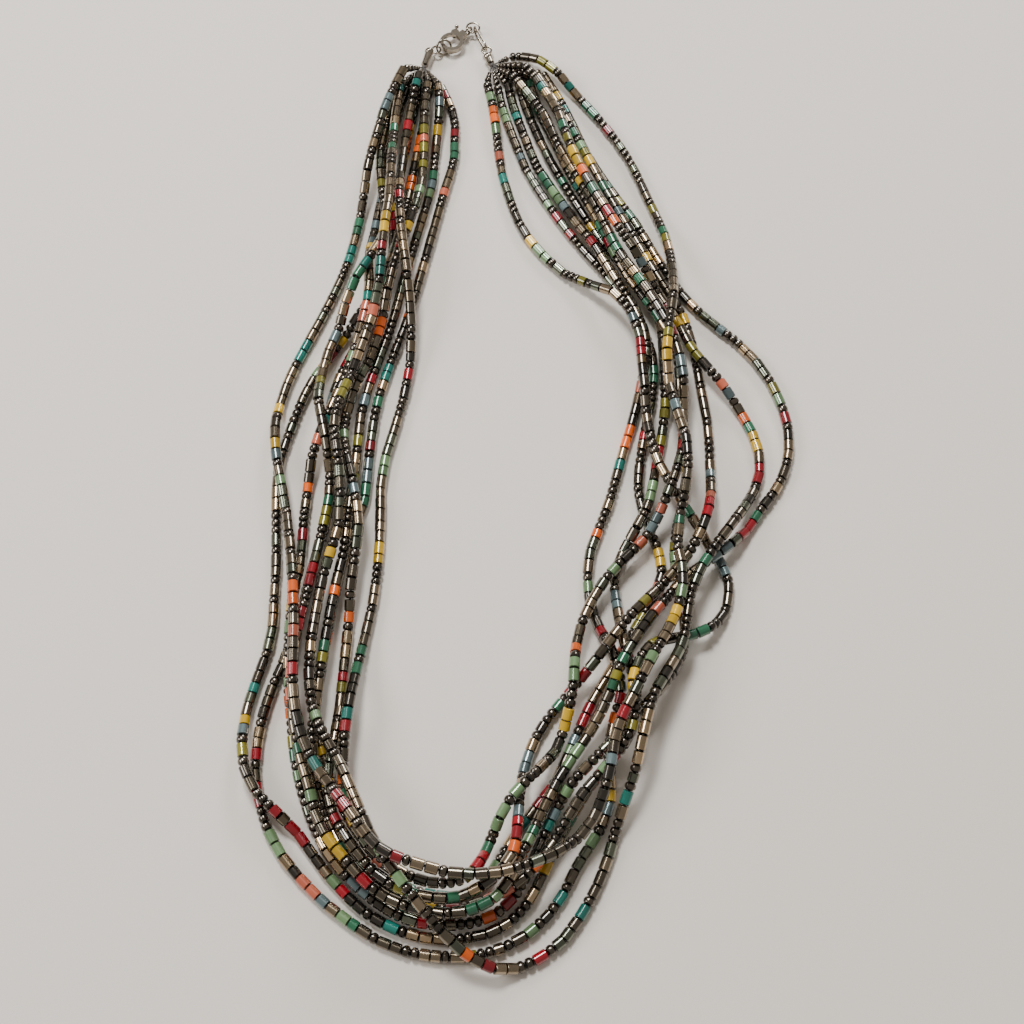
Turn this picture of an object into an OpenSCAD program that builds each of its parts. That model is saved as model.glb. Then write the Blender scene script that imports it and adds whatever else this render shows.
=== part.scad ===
/* [Strands] */
// Width of a strand of beads, corner to corner
strand_d = 2.3; // [2.1:0.05:2.3]
// Least distance between the axes of two strands that cross or lie side by side
lay_pitch = 2.55; // [2.55:0.05:2.8]
// Sections along each strand
rings = 80; // [70:1:80]

/* [Clasp] */
// Thickness of the claw
claw_t = 1.3; // [1.2:0.05:1.35]
// Outer radius of the claw's hook
claw_r = 2.9; // [2.85:0.05:3]
// Width of the claw's hook, from its inner edge to its outer edge
claw_w = 0.9; // [0.8:0.05:0.95]
// Thickness of the lever
lever_t = 0.7; // [0.6:0.05:0.7]
// Radius of the pin that the lever turns on
pin_r = 0.3; // [0.25:0.01:0.35]
// Room between the pin and the lever's bore, on the radius
pin_room = 0.05; // [0.02:0.01:0.08]

/* [Rings and ends] */
// Radius of the wire of every ring and loop
wire_r = 0.25; // [0.2:0.01:0.26]
// Radius of the thread that each strand is strung on
thread_r = 0.2; // [0.15:0.01:0.25]
// Radius of the ball on each end piece
ball_r = 1.1; // [1:0.05:1.2]
// Radius of the tube that closes on the threads
tube_r = 0.9; // [0.8:0.05:0.95]

/* [Hidden] */
$fn = 48;

// Colours
bead_colour = "#6b6556";
metal_colour = "#c9c4ba";
thread_colour = "#4a4540";

// Sides of a strand, and the height of its axis when a flat side lies on the ground
sides = 8;
lay_z = strand_d / 2 * cos(180 / sides);
// How far away a laid strand's section may start and still be met
reach = 13;
// Points tried along each section
tries = 4;
// Most that a strand drops from one section to the next, and how many sections that may take
drop = 2.6;
drop_rings = 4;

// Routes of the strands seen from above, in the order in which they are laid, left end first
routes = [
    [[-20.5, 92], [-18.5, 87], [-17, 82], [-17, 76], [-17, 70], [-18.5, 64], [-20, 57], [-21.5, 50],
     [-23, 43], [-24.5, 36], [-26, 29], [-28, 22], [-30.5, 14], [-32.5, 6], [-33.5, -2], [-34, -10],
     [-34.5, -18], [-36.5, -25], [-38.5, -33], [-40, -41], [-41, -50], [-42, -58], [-42.5, -65],
     [-40.5, -72], [-38, -79], [-35.5, -86], [-32, -91.5], [-26.5, -96.5], [-22, -99], [-16.5, -100],
     [-11.5, -100], [-8, -96.5], [-4.5, -91], [-1, -85.5], [4.5, -79], [7, -73.5], [9.5, -68],
     [12, -62.5], [15, -57.5], [18.5, -51.5], [22, -45.5], [25.5, -39.5], [27.5, -33], [26, -27],
     [24, -21], [23, -14], [24, -7], [25.5, 1], [27, 8], [27.5, 15], [26.5, 21], [24, 27],
     [20.5, 34], [16.5, 40], [12, 46], [7.5, 53], [3.5, 60], [-0.5, 68], [-3, 76], [-5.5, 84],
     [-7, 92]],
    [[-26, 91.5], [-26.5, 86], [-27.5, 80], [-28.5, 73], [-29.5, 66], [-30, 59], [-30.5, 52],
     [-30.5, 45], [-31.5, 38], [-33, 31], [-35.5, 24], [-39, 17], [-42, 9], [-43, 1], [-42.5, -6],
     [-41.5, -14], [-42, -22], [-43.5, -29], [-45, -37], [-47, -45], [-49, -53], [-51.5, -60],
     [-53, -67], [-53.5, -74], [-52.5, -81], [-49.5, -89], [-45, -95], [-39, -101], [-32, -106],
     [-25.5, -109.5], [-18, -111], [-10, -111], [-3, -108.5], [2.5, -104.5], [6.5, -99], [9.5, -93],
     [13, -88], [15.5, -82], [15.5, -75], [15.5, -69], [18, -62], [17.5, -55], [15, -48.5],
     [12.5, -42], [12, -35], [13, -28], [16, -21], [18.5, -12.5], [20.5, -5], [23, 3], [24.5, 10],
     [26, 17], [25, 24.5], [22, 31], [18.5, 38], [14.5, 46], [10, 53.5], [6, 61], [2, 69],
     [-0.5, 77], [-3, 85], [-4.5, 92.5]],
    [[-23, 92], [-24, 86], [-24.5, 80], [-25.5, 73], [-26.5, 66], [-27.5, 58], [-28.5, 50.5],
     [-30, 43], [-32.5, 35.5], [-36, 28.5], [-40, 22.5], [-44, 16], [-47.5, 10], [-49.5, 4],
     [-51.5, -3], [-53, -10], [-53, -17], [-52.5, -25], [-52, -33], [-52, -41], [-52, -48.5],
     [-54, -56], [-56, -64], [-56, -72], [-54, -79], [-49, -84], [-44, -88.5], [-40, -94],
     [-36, -98.5], [-31, -103], [-24.5, -106.5], [-17, -108], [-10, -107.5], [-4, -105], [0, -100.5],
     [2.5, -95.5], [5, -90], [8.5, -84], [12.5, -78], [17, -73], [20.5, -67], [21, -60], [19, -52],
     [18, -45], [17.5, -38], [18, -32.5], [21, -27], [24.5, -21], [26.5, -13], [28, -5], [29.5, 3],
     [29.5, 11], [29.5, 19], [29, 27], [26, 35], [21, 41], [17, 47], [13, 54.5], [9, 62.5], [5, 71],
     [2, 79], [-0.5, 86.5], [-2, 93.5]],
    [[-28.5, 90.5], [-30, 85], [-31.5, 79], [-32.5, 72], [-33, 64], [-34, 56], [-35, 48.5],
     [-35.5, 41], [-35, 33.5], [-35.5, 26], [-37.5, 18], [-40, 9.5], [-43, 1], [-45.5, -7],
     [-46.5, -15], [-47, -24], [-47, -33], [-48, -42], [-48, -51], [-47.5, -60], [-46.5, -69],
     [-45, -77], [-42, -85.5], [-38, -92.5], [-33.5, -97.5], [-28.5, -101.5], [-23, -104.5],
     [-17, -105.5], [-10.5, -105], [-5, -102.5], [-1.5, -97.5], [1.5, -91], [4.5, -84.5], [8, -79],
     [13, -74], [18, -69], [22.5, -64], [27, -58.5], [30.5, -52.5], [31.5, -45], [30.5, -37.5],
     [30, -30], [31, -23], [33, -15.5], [33.5, -8], [33, 0], [33, 8], [32.5, 16], [29.5, 23.5],
     [26, 30], [22, 37], [19, 44], [16, 51.5], [12.5, 59.5], [9, 67], [6.5, 74.5], [4, 81.5],
     [2, 88], [0.5, 95]],
    [[-21, 90.5], [-20.5, 85], [-21, 78], [-21.5, 71], [-22, 63], [-24, 54], [-26, 45], [-28, 36],
     [-29.5, 28], [-31.5, 20], [-34, 12], [-36, 3], [-36.5, -6], [-37, -15], [-37.5, -23],
     [-38, -31], [-39.5, -39], [-40.5, -47], [-41.5, -56], [-42, -64], [-42.5, -71.5], [-41, -79],
     [-39, -85], [-36, -91], [-32, -95.5], [-27.5, -99], [-22.5, -101.5], [-16.5, -103],
     [-11, -102.5], [-5.5, -100], [-1, -97], [3, -92.5], [6.5, -87], [10, -81.5], [14.5, -76.5],
     [18.5, -71.5], [20.5, -66], [20, -59], [22.5, -53.5], [26.5, -50], [32, -49], [37, -46.5],
     [40, -42.5], [41, -37], [39.5, -31.5], [36.5, -27.5], [33.5, -22], [30, -16.5], [27, -10],
     [25.5, -3], [25, 5], [24.5, 13], [24, 21], [21, 29], [15, 34], [8, 39], [2.5, 45], [-1.5, 51.5],
     [-4, 59], [-6, 67], [-7, 76], [-8, 84.5], [-9.5, 92]],
    [[-32.5, 88], [-32.5, 81.5], [-34, 74], [-34, 66], [-33, 58], [-32, 50.5], [-32.5, 43],
     [-36, 36.5], [-39.5, 29.5], [-41.5, 22.5], [-44, 15], [-45, 6], [-43.5, -2], [-42, -9],
     [-41.5, -17], [-42.5, -25], [-44, -34], [-45.5, -44], [-47, -54], [-46.5, -64], [-44.5, -73],
     [-42, -80.5], [-40, -87.5], [-35, -93.5], [-30, -99], [-23.5, -102.5], [-17, -104],
     [-11, -103.5], [-6, -101], [-3, -96], [-0.5, -90.5], [2, -85], [5, -79], [8.5, -73.5],
     [12.5, -67.5], [15.5, -62], [18.5, -54.5], [23, -47.5], [28, -40.5], [33, -35], [39.5, -30.5],
     [45, -25], [49.5, -18.5], [53.5, -13], [55.5, -6], [55.5, 1.5], [53.5, 9], [50, 16], [45, 22],
     [40, 26.5], [35, 32.5], [31, 39.5], [27.5, 46.5], [24.5, 53], [20.5, 59.5], [17, 66],
     [13.5, 73], [11, 80], [8, 87.5], [4, 96]],
    [[-23.5, 90.5], [-24, 84], [-24, 76], [-24, 67], [-25, 57], [-27, 48], [-29.5, 39.5],
     [-31, 31.5], [-32.5, 23.5], [-34.5, 15], [-38, 7], [-39.5, -2], [-38, -10], [-36, -18],
     [-35, -26], [-36, -35], [-36.5, -44], [-37, -53], [-37.5, -62], [-38, -71], [-39, -79],
     [-37, -86], [-33, -92], [-28.5, -97], [-22.5, -100.5], [-16.5, -101.5], [-11.5, -100.5],
     [-6.5, -98], [-3, -93], [-2.5, -87.5], [-2, -81], [-1, -75], [1, -69.5], [4.5, -64],
     [9.5, -58.5], [14.5, -53], [18.5, -47.5], [23.5, -42], [28, -37], [32.5, -31.5], [36, -25],
     [38, -17.5], [38.5, -9], [38.5, 0], [37.5, 9], [36.5, 18], [34.5, 27.5], [30.5, 35], [27, 42],
     [23.5, 49.5], [20, 56], [16.5, 63.5], [13.5, 70.5], [10.5, 77.5], [7, 85], [2.5, 93.5]],
    [[-25.5, 93], [-27, 86], [-28, 77], [-29, 66], [-29, 55], [-28, 44.5], [-26.5, 34], [-25.5, 23],
     [-26, 12], [-28.5, 0], [-31, -11], [-31, -21], [-31, -31], [-32, -42], [-34, -53],
     [-35.5, -64.5], [-36, -73], [-35.5, -81], [-33, -88], [-28.5, -93.5], [-22.5, -97.5],
     [-16.5, -99], [-11.5, -98], [-9, -94], [-7, -89], [-4, -83], [0.5, -78], [4.5, -73], [7, -67],
     [8.5, -60], [9, -53], [10.5, -46], [14.5, -38], [19, -32.5], [23.5, -28], [27, -22.5],
     [30, -15.5], [32.5, -7], [33, 2], [33, 11], [31, 20.5], [27.5, 28], [23.5, 35.5], [20, 42],
     [17.5, 48.5], [14.5, 56], [11.5, 62], [8.5, 68.5], [6, 74.5], [4, 81], [0.5, 87.5],
     [-3.5, 93.5]],
    [[-30, 89.5], [-30.5, 83], [-31, 76], [-31, 66], [-31, 54], [-32, 42], [-32.5, 31], [-35, 19.5],
     [-38.5, 8.5], [-41, -1], [-40, -9], [-39, -17], [-39, -26], [-41.5, -35], [-43, -45],
     [-43.5, -56], [-42, -66], [-37.5, -74], [-34, -81], [-30.5, -89], [-26, -96], [-20.5, -103],
     [-14.5, -109.5], [-7.5, -113.5], [-0.5, -112.5], [6, -108], [11, -101], [14.5, -93.5],
     [17, -85.5], [20, -77.5], [22, -69], [24.5, -61.5], [28.5, -55], [31, -49], [32, -42],
     [35, -34.5], [40, -27.5], [45, -20], [48.5, -13], [49, -5.5], [46, 3], [41, 10.5], [36, 17],
     [33, 24.5], [29.5, 31], [25.5, 38], [21, 45], [17, 52.5], [13, 60.5], [9.5, 70], [7.5, 79],
     [4, 88], [-0.5, 95]],
    [[-29, 92.5], [-31.5, 86], [-34, 78], [-36, 69], [-37.5, 59.5], [-39, 49], [-41, 40],
     [-44.5, 30], [-48.5, 20.5], [-52, 11.5], [-54, 2], [-53.5, -7], [-51.5, -16], [-49.5, -26],
     [-47.5, -38], [-46.5, -50], [-46, -62], [-43.5, -72], [-38.5, -80], [-33.5, -86.5],
     [-28.5, -93], [-21.5, -96], [-12, -98], [-3, -97], [5.5, -93], [12, -86.5], [15, -78],
     [16.5, -70], [20.5, -62], [24, -55], [28.5, -47], [31, -38.5], [30, -29.5], [32, -19], [33, -9],
     [30.5, 3], [29.5, 14.5], [31.5, 27.5], [32, 39.5], [30.5, 51], [27, 61.5], [23.5, 71],
     [17.5, 81.5], [10, 91.5], [2.5, 99], [-4, 101]]
];

// Middle of the whole necklace as the routes and places here give it, set over the origin
middle = [-0.27, -1.62];

// Height of the axis of the clasp and the rings
clasp_z = 1.8;
// Where the claw's eye is, and the way its nose points
eye = [-14.15, 108.56];
claw_turn = 222;
eye_r = 1;
eye_wire = 0.3;
// The claw's hook is an arc about this point, measured from the eye
hook_x = 5.3;
// The lever's pin, measured from the eye
pin = [2.9, -1.5];
hub_r = 0.75;
cheek_r = 1;
slot_r = 1.3;
slot_t = lever_t + 0.14;
// Distance from the pin to the tip of the lever, and the gap before the nose
tip_r = 4.3;
tip_gap = 0.1;
// Where the lever's plate stops beside the pin, so that it stays inside the slot
lever_top = -0.45;
// Where the thumb's tab ends, and the radii of the tab and its knob
tab = [1.2, -2.9];
tab_r = 0.28;
knob_r = 0.55;

// Rings
left_ring_r = 1.75;
left_ring_tilt = 60;
left_ring_turn = 20;
// Where the left ring's wire lies in the hook, measured from the eye
left_ring_hold = [6.1, 0.5];
right_ring_r = 1.55;
right_ring_at = [-13, 109.6];
// The link stands on edge between the right ring and the right end
link_top = [-12.7, 109.4];
link_turn = -65.5;
link_len = 7.2;
link_r = 1.2;

// End pieces: the loop, the ball, and the tube from the ball to its mouth
left_loop = [-21.8, 102.8];
left_loop_r = 1;
left_ball = [-23.5, 102.1];
left_mouth = [-24.5, 98];
right_loop = [-9.6, 102.6];
right_loop_r = 1.1;
right_ball = [-9.3, 100.5];
right_mouth = [-8.6, 98.6];
knot_r = 0.6;
knot_gap = 0.1;
thread_gap = 0.12;

// Point at parameter u on the smooth curve through the points p
function spline(p, u) =
    let (i = min(floor(u), len(p) - 2),
        t = u - i,
        b = p[i],
        c = p[i + 1],
        a = i > 0 ? p[i - 1] : 2 * b - c,
        d = i + 2 < len(p) ? p[i + 2] : 2 * c - b)
    (2 * b + (c - a) * t + (2 * a - 5 * b + 4 * c - d) * t * t + (3 * b - a - 3 * c + d) * t * t * t) / 2;

// The sections of a route seen from above
function plan(route) = [for (k = [0 : rings - 1]) spline(route, k * (len(route) - 1) / (rings - 1))];

// Height at which an axis over p clears the laid section from a to b, or 0 where it passes by
function clear_z(p, a, b) =
    let (d = [b.x - a.x, b.y - a.y],
        t = max(0, min(1, (p - [a.x, a.y]) * d / (d * d))),
        foot = a + t * (b - a),
        away = norm(p - [foot.x, foot.y]))
    away < lay_pitch ? foot.z + sqrt(lay_pitch * lay_pitch - away * away) : 0;

// Height that the section from p to q needs over the laid strands
function section_z(p, q, laid) =
    let (near = [for (line = laid) for (j = [0 : rings - 2])
            if (abs(line[j].x - p.x) < reach && abs(line[j].y - p.y) < reach) [line[j], line[j + 1]]])
    max([lay_z, for (s = near) for (n = [0 : tries]) clear_z(p + (q - p) * n / tries, s[0], s[1])]);

// A strand's axis, lifted over the strands that are laid before it
function lift(flat, laid) =
    let (need = [for (k = [0 : rings - 2]) section_z(flat[k], flat[k + 1], laid)],
        rest = [for (k = [0 : rings - 1]) max(need[max(k - 1, 0)], need[min(k, rings - 2)])])
    [for (k = [0 : rings - 1])
        [flat[k].x, flat[k].y,
            max([for (j = [max(k - drop_rings, 0) : min(k + drop_rings, rings - 1)])
                rest[j] - drop * abs(k - j)])]];

// The axes of the first n strands
function lay(n) = n == 0 ? [] : let (laid = lay(n - 1)) concat(laid, [lift(plan(routes[n - 1]), laid)]);

// Direction of an axis at section k
function heading(line, k) =
    let (d = line[min(k + 1, rings - 1)] - line[max(k - 1, 0)])
    d / norm(d);

// Corners of section k
function section(line, k) =
    let (ahead = heading(line, k),
        flat = norm([ahead.x, ahead.y]),
        right = [ahead.y / flat, -ahead.x / flat, 0],
        up = cross(right, ahead))
    [for (i = [0 : sides - 1])
        let (a = (i + 0.5) * 360 / sides)
        line[k] + strand_d / 2 * (cos(a) * right + sin(a) * up)];

// Number of a corner, counted along the whole strand
function corner(k, i) = k * sides + i % sides;

// Puts the middle of the necklace over the origin
module centred() {
    translate([-middle.x, -middle.y, 0]) children();
}

module strand(n) {
    line = lay(n)[n - 1];
    points = [for (k = [0 : rings - 1]) each section(line, k)];
    walls = [for (k = [0 : rings - 2]) for (i = [0 : sides - 1]) each [
        [corner(k, i), corner(k, i + 1), corner(k + 1, i + 1)],
        [corner(k, i), corner(k + 1, i + 1), corner(k + 1, i)]]];
    start = [[for (i = [sides - 1 : -1 : 0]) corner(0, i)]];
    end = [[for (i = [0 : sides - 1]) corner(rings - 1, i)]];
    color(bead_colour) centred() polyhedron(points, concat(start, walls, end));
}

// A ring of wire about the z axis
module torus(r, w) {
    rotate_extrude() translate([r, 0]) circle(w);
}

// A round rod from a to b
module rod(a, b, r) {
    d = b - a;
    translate(a) rotate([0, acos(d.z / norm(d)), atan2(d.y, d.x)]) cylinder(h = norm(d), r = r);
}

function on_axis(p) = [p.x, p.y, clasp_z];

// Point p turned by angle a about the origin
function turned(p, a) = [p.x * cos(a) - p.y * sin(a), p.x * sin(a) + p.y * cos(a)];

// One side of a ball and the tube that leaves it, up to their shared axis
module end_outline(tube_len) {
    intersection() {
        union() {
            circle(ball_r);
            square([tube_r, tube_len]);
        }
        translate([0, -ball_r]) square([ball_r, ball_r + tube_len]);
    }
}

module end_piece(loop, loop_r, ball, mouth) {
    d = mouth - ball;
    color(metal_colour) centred() {
        translate(on_axis(loop)) torus(loop_r, wire_r);
        translate(on_axis(ball)) rotate([0, 90, atan2(d.y, d.x)]) rotate_extrude() end_outline(norm(d));
    }
}

// Threads from a knot at the mouth to the strands' ends
module threads(ball, mouth, ends) {
    out = (mouth - ball) / norm(mouth - ball);
    knot = on_axis(mouth + out * (knot_r + knot_gap));
    color(thread_colour) centred() {
        translate(knot) sphere(knot_r, $fn = 16);
        for (tip = ends) {
            d = tip - knot;
            hull() {
                translate(knot) sphere(thread_r, $fn = 8);
                translate(tip - d / norm(d) * (thread_gap + thread_r)) sphere(thread_r, $fn = 8);
            }
        }
    }
}

module left_end() end_piece(left_loop, left_loop_r, left_ball, left_mouth);

module right_end() end_piece(right_loop, right_loop_r, right_ball, right_mouth);

module left_threads() threads(left_ball, left_mouth, [for (line = lay(len(routes))) line[0]]);

module right_threads() threads(right_ball, right_mouth, [for (line = lay(len(routes))) line[rings - 1]]);

// The left ring joins the claw's hook to the left loop
module left_ring() {
    hold = on_axis(eye + turned(left_ring_hold, claw_turn));
    hub = hold - left_ring_r * [cos(left_ring_turn), sin(left_ring_turn), 0];
    color(metal_colour) centred()
        translate(hub) rotate([0, 0, left_ring_turn]) rotate([left_ring_tilt, 0, 0])
            torus(left_ring_r, wire_r);
}

module right_ring() {
    color(metal_colour) centred() translate(on_axis(right_ring_at)) torus(right_ring_r, wire_r);
}

// An oval of wire on edge: two half rings joined by two straight rods
module link() {
    color(metal_colour) centred()
        translate(on_axis(link_top)) rotate([0, 0, link_turn]) rotate([90, 0, 0]) {
            for (half = [[link_r, 90], [link_len - link_r, -90]])
                translate([half[0], 0, 0]) rotate([0, 0, half[1]])
                    rotate_extrude(angle = 180) translate([link_r, 0]) circle(wire_r);
            for (y = [-link_r, link_r])
                translate([link_r, y, 0]) rotate([0, 90, 0])
                    cylinder(h = link_len - 2 * link_r, r = wire_r);
        }
}

// A flat plate of thickness t with its middle on the clasp's plane
module plate(t) {
    translate([0, 0, -t / 2]) linear_extrude(t) children();
}

module at_eye() {
    translate(on_axis(eye)) rotate([0, 0, claw_turn]) children();
}

module hook_arc() {
    translate([hook_x, 0]) difference() {
        circle(claw_r);
        circle(claw_r - claw_w);
    }
}

// The hook's side of the arc, with the nose that comes round to the lever's tip
module hook_outline() {
    difference() {
        hook_arc();
        intersection() {
            translate([0, -claw_r - 1]) square([2 * claw_r + hook_x, claw_r + 1]);
            translate(pin) circle(tip_r + tip_gap);
        }
    }
    translate([eye_r, -0.9]) square([hook_x - claw_r - eye_r + claw_w, 1.8]);
    translate(pin) circle(cheek_r);
}

module claw() {
    color(metal_colour) centred() at_eye() {
        rotate([90, 0, 0]) torus(eye_r, eye_wire);
        difference() {
            plate(claw_t) hook_outline();
            translate([pin.x, pin.y, -slot_t / 2]) cylinder(h = slot_t, r = slot_r);
        }
        translate([pin.x, pin.y, -claw_t / 2]) cylinder(h = claw_t, r = pin_r);
    }
}

// The lever closes the claw on its other side and has a tab for the thumb
module lever() {
    color(metal_colour) centred() at_eye() difference() {
        union() {
            plate(lever_t) intersection() {
                hook_arc();
                translate(pin) circle(tip_r);
                translate([pin.x, -claw_r - 1]) square([2 * claw_r, claw_r + 1 + lever_top]);
            }
            translate([pin.x, pin.y, -lever_t / 2]) cylinder(h = lever_t, r = hub_r);
            rod([pin.x, pin.y, 0], [tab.x, tab.y, 0], tab_r);
            translate([tab.x, tab.y, 0]) sphere(knob_r);
        }
        translate([pin.x, pin.y, -lever_t]) cylinder(h = 2 * lever_t, r = pin_r + pin_room);
    }
}

strand(1);  // strand_1
strand(2);  // strand_2
strand(3);  // strand_3
strand(4);  // strand_4
strand(5);  // strand_5
strand(6);  // strand_6
strand(7);  // strand_7
strand(8);  // strand_8
strand(9);  // strand_9
strand(10);  // strand_10
left_end();
right_end();
left_threads();
right_threads();
left_ring();
right_ring();
link();
claw();
lever();
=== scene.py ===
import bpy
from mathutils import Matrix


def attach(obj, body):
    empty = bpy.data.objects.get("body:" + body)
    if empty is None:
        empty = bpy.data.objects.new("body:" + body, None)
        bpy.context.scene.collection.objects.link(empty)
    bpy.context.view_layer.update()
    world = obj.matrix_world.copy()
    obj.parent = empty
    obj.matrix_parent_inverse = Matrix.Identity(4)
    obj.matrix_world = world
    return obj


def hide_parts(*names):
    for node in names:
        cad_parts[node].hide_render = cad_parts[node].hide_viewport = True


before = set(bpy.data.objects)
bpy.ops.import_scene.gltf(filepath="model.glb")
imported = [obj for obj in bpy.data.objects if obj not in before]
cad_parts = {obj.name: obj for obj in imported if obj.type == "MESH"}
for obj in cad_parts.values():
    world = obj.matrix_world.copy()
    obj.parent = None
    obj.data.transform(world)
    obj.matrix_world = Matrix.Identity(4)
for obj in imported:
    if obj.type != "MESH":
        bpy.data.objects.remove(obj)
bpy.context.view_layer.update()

import math
import random
from collections import namedtuple

import bpy
import numpy as np
from mathutils import Vector

bl_info = {
    "name": "Multi strand necklace",
    "version": (1, 0, 0),
    "blender": (4, 5, 0),
    "location": "3D View > Sidebar > Necklace",
    "description": "Strings the beads of a multi strand necklace and finishes its clasp",
    "category": "Object",
}

MM = 0.001
NECKLACE = "necklace"
THREAD_NODES = ("left_threads", "right_threads")
METAL_NODES = ("left_end", "right_end", "left_ring", "right_ring", "link", "claw", "lever")

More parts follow.
